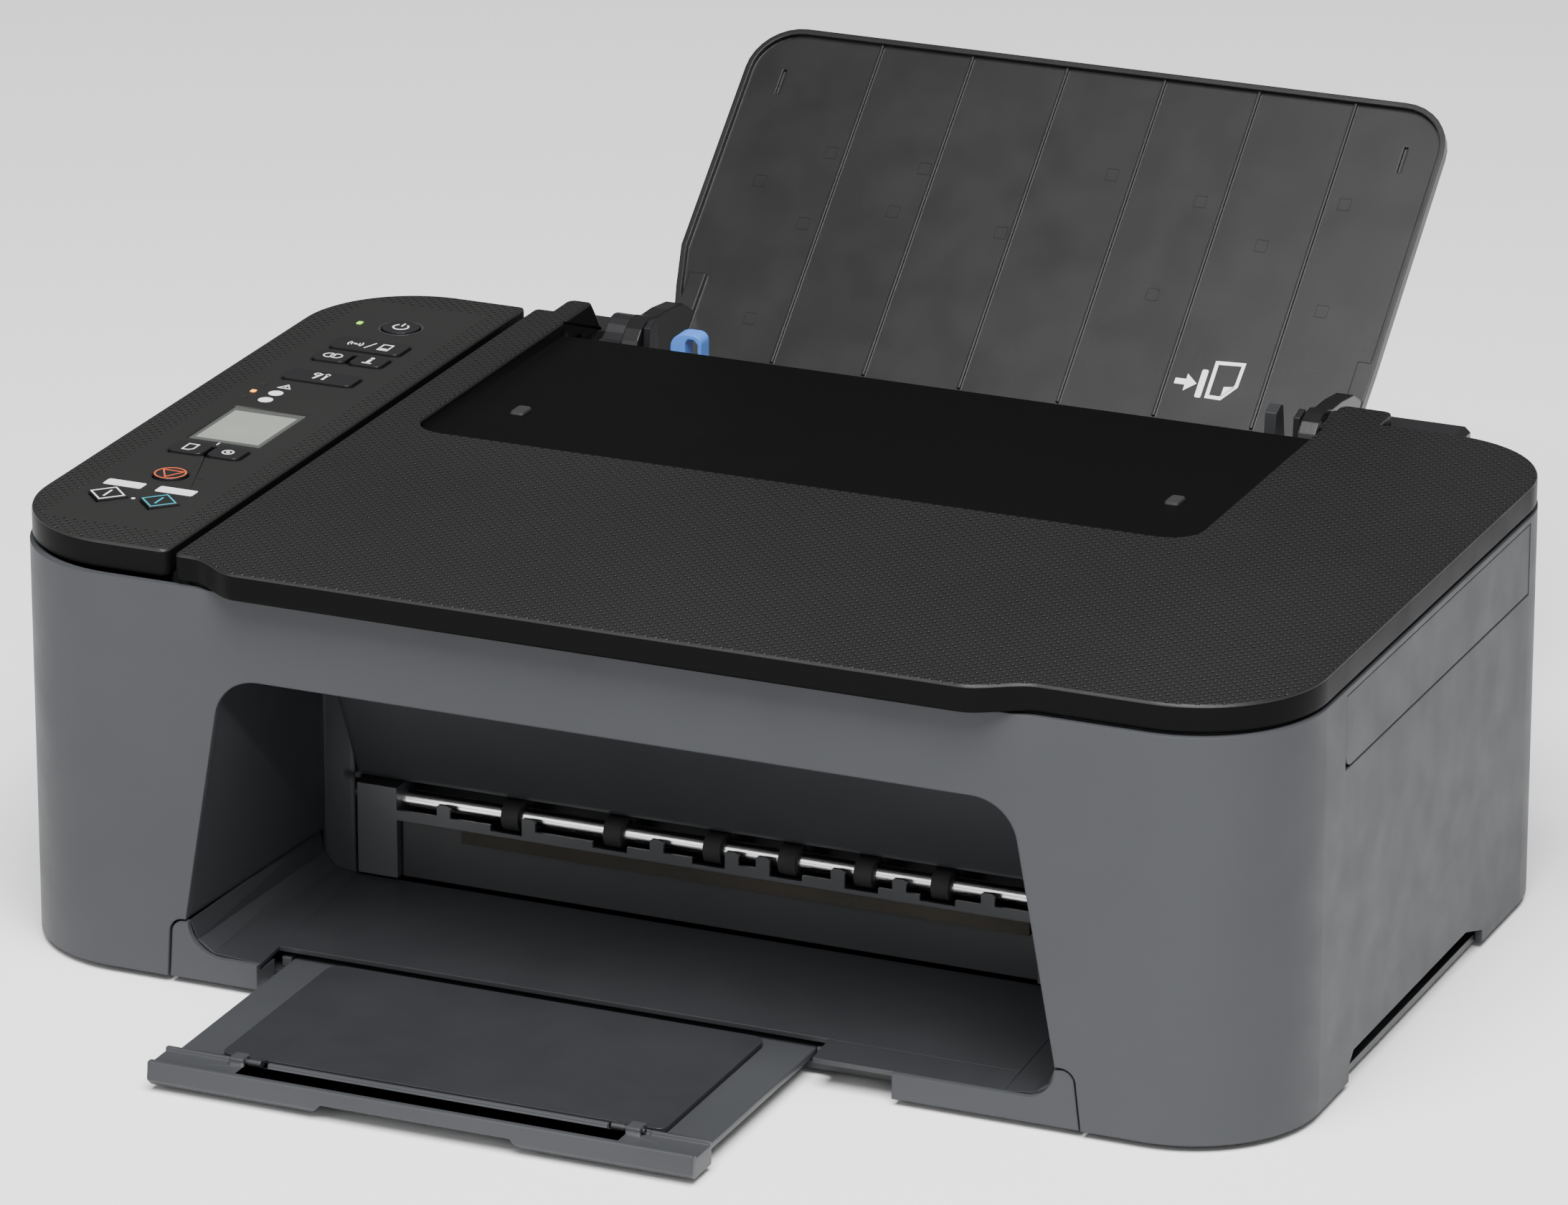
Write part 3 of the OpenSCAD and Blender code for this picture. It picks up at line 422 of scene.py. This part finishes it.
def poly_ring(pts, w):
    """Outline of a convex polygon, w wide."""
    n = len(pts)
    c = Vector((sum(p[0] for p in pts) / n, sum(p[1] for p in pts) / n))
    inner = []
    for i in range(n):
        p0, p1, p2 = Vector(pts[i - 1]), Vector(pts[i]), Vector(pts[(i + 1) % n])
        e1, e2 = (p1 - p0).normalized(), (p2 - p1).normalized()
        n1, n2 = Vector((-e1.y, e1.x)), Vector((-e2.y, e2.x))
        if n1.dot(c - p1) < 0:
            n1, n2 = -n1, -n2
        b = n1 + n2
        inner.append(tuple(p1 + b / max(b.length_squared / 2, 0.2) * w))
    return (pts, inner)


# ------------------------------------------------------------------ rounded shells
rounded("document_cover", 0.9, "scanner_lid", "satin_black")
rounded("panel_housing", 0.9, ROOT, "satin_black")
rounded("output_tray", 0.6, "tray", "casing_grey")

# ------------------------------------------------------------------ control panel marks
KEY_Z = 145.5       # top of the keys
TOP_Z = 145.0       # top of the panel
PRINT = 0.06        # thickness of a printed mark


def level_place(z, thick):
    """Places marks on a level face at height z."""
    return lambda x, y, level: P(x, y, z + thick * level)


def key_mark(name, body, loops, material=WHITE, slot="white_plastic"):
    marks(name, loops, level_place(KEY_Z, PRINT), material, body, slot)


def panel_mark(name, loops, material=WHITE, slot="white_plastic", thick=PRINT):
    marks(name, loops, level_place(TOP_Z, thick), material, ROOT, slot)


key_mark("mark_power", "power_key", [
    arc(-182.5, 95.5, 2.9, 0.6, 125, 415, 24),
    line(-182.5, 96.2, -182.5, 99.2, 0.6)])
panel_mark("ring_power", [ring(-182.5, 95.5, 7.5, 0.35)], GREY, "mid_grey", 0.08)
# Waves on both sides of a dot, a stroke, and a small device
waves = [arc(-188.6, 73.6, r, 0.45, a - 40, a + 40, 10) for r in (1.7, 2.8) for a in (0, 180)]
key_mark("mark_wireless", "wireless_key", [circ(-188.6, 73.6, 0.6, 12)] + waves + [
    line(-184.2, 70.8, -182.2, 76.6, 0.4),
    poly_ring(rect(-179.6, -175.6, 70.6, 76.6), 0.5),
    rect(-178.8, -176.4, 71.4, 72.6)])
key_mark("mark_direct", "direct_key", [
    ring(-191.4, 59.5, 2.2, 0.5, 20),
    ring(-188.8, 59.5, 2.2, 0.5, 20)])
key_mark("mark_info", "info_key", [
    circ(-176.5, 61.8, 0.75, 14),
    rect(-177.1, -175.9, 57.2, 60.4),
    rect(-178.2, -174.8, 56.5, 57.2)])
key_mark("mark_tools", "tools_key", [
    line(-185.8, 35.6, -184.4, 40.6, 0.8),
    ring(-186, 40, 1.3, 0.5, 14),
    rect(-182.8, -181.9, 35.4, 40.6),
    circ(-182.4, 40.4, 0.9, 12)])
key_mark("mark_paper", "paper_key", [
    poly_ring([(-193.2, -44.9), (-190.6, -44.9), (-189.2, -43.4), (-189.2, -39), (-193.2, -39)], 0.5)])
key_mark("mark_ok", "ok_key", [
    ring(-177.7, -42, 2.1, 0.55, 24),
    circ(-177.7, -42, 0.7, 12)])
key_mark("mark_stop", "stop_key", [
    ring(-185.5, -67.3, 5.3, 0.55),
    poly_ring([(-189.6, -64.6), (-185.5, -71.6), (-181.4, -64.6)], 0.5)], ORANGE, "orange_plastic")
for name, body, cx, ink, slot in (
        ("mark_black_start", "black_start_key", -195, WHITE, "white_plastic"),
        ("mark_color_start", "color_start_key", -176.7, TEAL, "teal_plastic")):
    key_mark(name, body, [
        poly_ring(diamond(cx, -92.3, 6.3), 0.55),
        line(cx, -95.2, cx, -89.4, 0.7)], ink, slot)
panel_mark("panel_labels", [rrect(x0, x1, -83.6, -78.4, 0.8) for x0, x1 in ((-201.5, -188), (-183, -169.7))])
panel_mark("panel_dots", [
    circ(-185.8, -92.5, 0.7, 14),
    poly_ring([(-193, 23.6), (-188, 23.6), (-190.5, 27.8)], 0.45),
    rect(-190.75, -190.25, 24.6, 26.2),
    line(-185, -35.6, -185, -33.6, 0.5),
    circ(-190.7, 18.3, 2.5, 24),
    circ(-190.8, 11, 2.5, 24)])
panel_mark("panel_dash", [rect(-178, -174.2, -67.9, -67.1)], KEY, "satin_black")


def led(name, x, y, depth, color, power):
    """Lamp window, 1.8 mm wide, that glows with the given power."""
    width = 1.8
    t = Tree(name)
    t.set("Base Color", t.mix(t.noise(300), scaled(color, 0.8), scaled(color, 1)))
    t.set("Roughness", 0.25)
    t.set("Emission Color", color + (1,))
    t.set("Emission Strength", power)
    window = rrect(x - width / 2, x + width / 2, y - depth / 2, y + depth / 2, 0.4, 3)
    panel_mark(name, [window], t.mat, thick=0.15)


UNLIT = (0.02, 0.02, 0.02)
led("led_power", -197.7, 95.3, 2.6, (0.35, 0.75, 0.05), 1.2)
led("led_alarm", -198.5, 25, 2.2, UNLIT, 0.0)
led("led_black_ink", -198.5, 17.5, 2.2, (1.0, 0.35, 0.03), 2.5)
led("led_color_ink", -198.7, 11, 2.2, UNLIT, 0.0)

# ------------------------------------------------------------------ paper support details
TILT = math.radians(41.5)       # the opened support's slope
PIVOT = (153.2, 125.4)          # y and z of its pivot
FRONT = -17.3                   # its printed face, in front of the pivot


def support_mark(name, loops, material, slot, thick):
    """Marks on the opened support: x across from the paper's middle, y along it from the pivot."""
    def place(x, y, level):
        n = FRONT + thick * level
        return P(3 + x, PIVOT[0] + y * math.cos(TILT) - n * math.sin(TILT),
                 PIVOT[1] + y * math.sin(TILT) + n * math.cos(TILT))
    marks(name, loops, place, material, "support", slot)


# Arrow, guide edge and a sheet with a folded corner
sheet = [(69.6, 37.9), (80.2, 38.5), (79.9, 28.9), (75.3, 23.3), (69.6, 23.4)]
sheet_in = [(70.9, 36.6), (79.0, 37.1), (78.7, 29.6), (74.7, 24.7), (70.9, 24.7)]
support_mark("mark_load", [
    [(57.6, 29.6), (61.4, 29.6), (61.4, 31.7), (65.4, 28.4), (61.4, 25.1), (61.4, 27.4), (57.6, 27.4)],
    rrect(66.0, 68.2, 23.2, 34.1, 0.6),
    (sheet, sheet_in),
    [(75.0, 24.2), (75.1, 28.5), (79.2, 29.0)]], WHITE, "white_plastic", 0.1)
# Faint outlines of the snap seats
seats = [(-90, 98.5), (-54.7, 97), (-60.5, 78.7), (-91, 69.5), (-98, 30), (12, 104), (-20, 76), (46, 98),
         (72, 84), (40, 60), (96, 104), (100, 62), (-112, 84)]
support_mark("support_seats", [poly_ring(rect(x - 2.2, x + 2.2, y - 2.4, y + 2.4), 0.25) for x, y in seats],
             GLOSS, "satin_black", 0.07)

# ------------------------------------------------------------------ bumpers in the lid's recess
for k, (bx, by) in enumerate([(-115, 46), (113.5, 49)]):
    foot = rrect(bx - 2.5, bx + 2.5, by - 4, by + 4, 1.2)
    crown = rrect(bx - 2.2, bx + 2.2, by - 3.7, by + 3.7, 1.2)
    verts = [P(x, y, 140.3) for x, y in foot] + [P(x, y, 141.1) for x, y in crown]
    make("bumper_%d" % k, verts, slab(0, len(foot)), RUBBER, "scanner_lid", "rubber_black")

# ------------------------------------------------------------------ camera, floor and light
CAMERA_AT = P(1067.28, -2456.79, 1086.65)
AZIMUTH, ELEVATION = math.radians(23.5), math.radians(20.11)
cam_data = bpy.data.cameras.new("camera")
cam_data.lens = 204.8
cam_data.sensor_width = 36
cam_data.clip_end = 100
cam = bpy.data.objects.new("camera", cam_data)
bpy.context.scene.collection.objects.link(cam)
back = Vector((math.sin(AZIMUTH) * math.cos(ELEVATION), -math.cos(AZIMUTH) * math.cos(ELEVATION),
               math.sin(ELEVATION)))
cam.location = CAMERA_AT
cam.rotation_mode = "QUATERNION"
cam.rotation_quaternion = (-back).to_track_quat("-Z", "Y")
bpy.context.scene.camera = cam

bpy.ops.mesh.primitive_plane_add(size=12, location=(0, 0, 0))
floor = bpy.context.object
floor.name = "floor"
ft = Tree("floor_pale")
ft.set("Base Color", ft.mix(ft.noise(2), (0.93, 0.93, 0.93, 1), (0.95, 0.95, 0.95, 1)))
ft.set("Roughness", 0.8)
floor.data.materials.append(ft.mat)

world = bpy.data.worlds.new("studio")
world.use_nodes = True
sky = world.node_tree.nodes["Background"].inputs
sky["Color"].default_value = (1, 1, 1, 1)
sky["Strength"].default_value = 0.12
bpy.context.scene.world = world


def area(name, loc, target, size, power):
    """Square lamp at loc that faces the target."""
    d = bpy.data.lights.new(name, "AREA")
    d.energy = power
    d.size = size
    o = bpy.data.objects.new(name, d)
    bpy.context.scene.collection.objects.link(o)
    o.location = loc
    o.rotation_mode = "QUATERNION"
    o.rotation_quaternion = (Vector(loc) - Vector(target)).to_track_quat("Z", "Y")


area("overhead", (0.45, -1.1, 2.3), (0.1, 0, 0.05), 1.9, 205)
area("front_right", (1.5, -2.1, 1.0), (0, 0, 0.07), 1.2, 10)
area("front_left", (-1.3, -2.1, 1.0), (0, 0, 0.07), 1.2, 12)
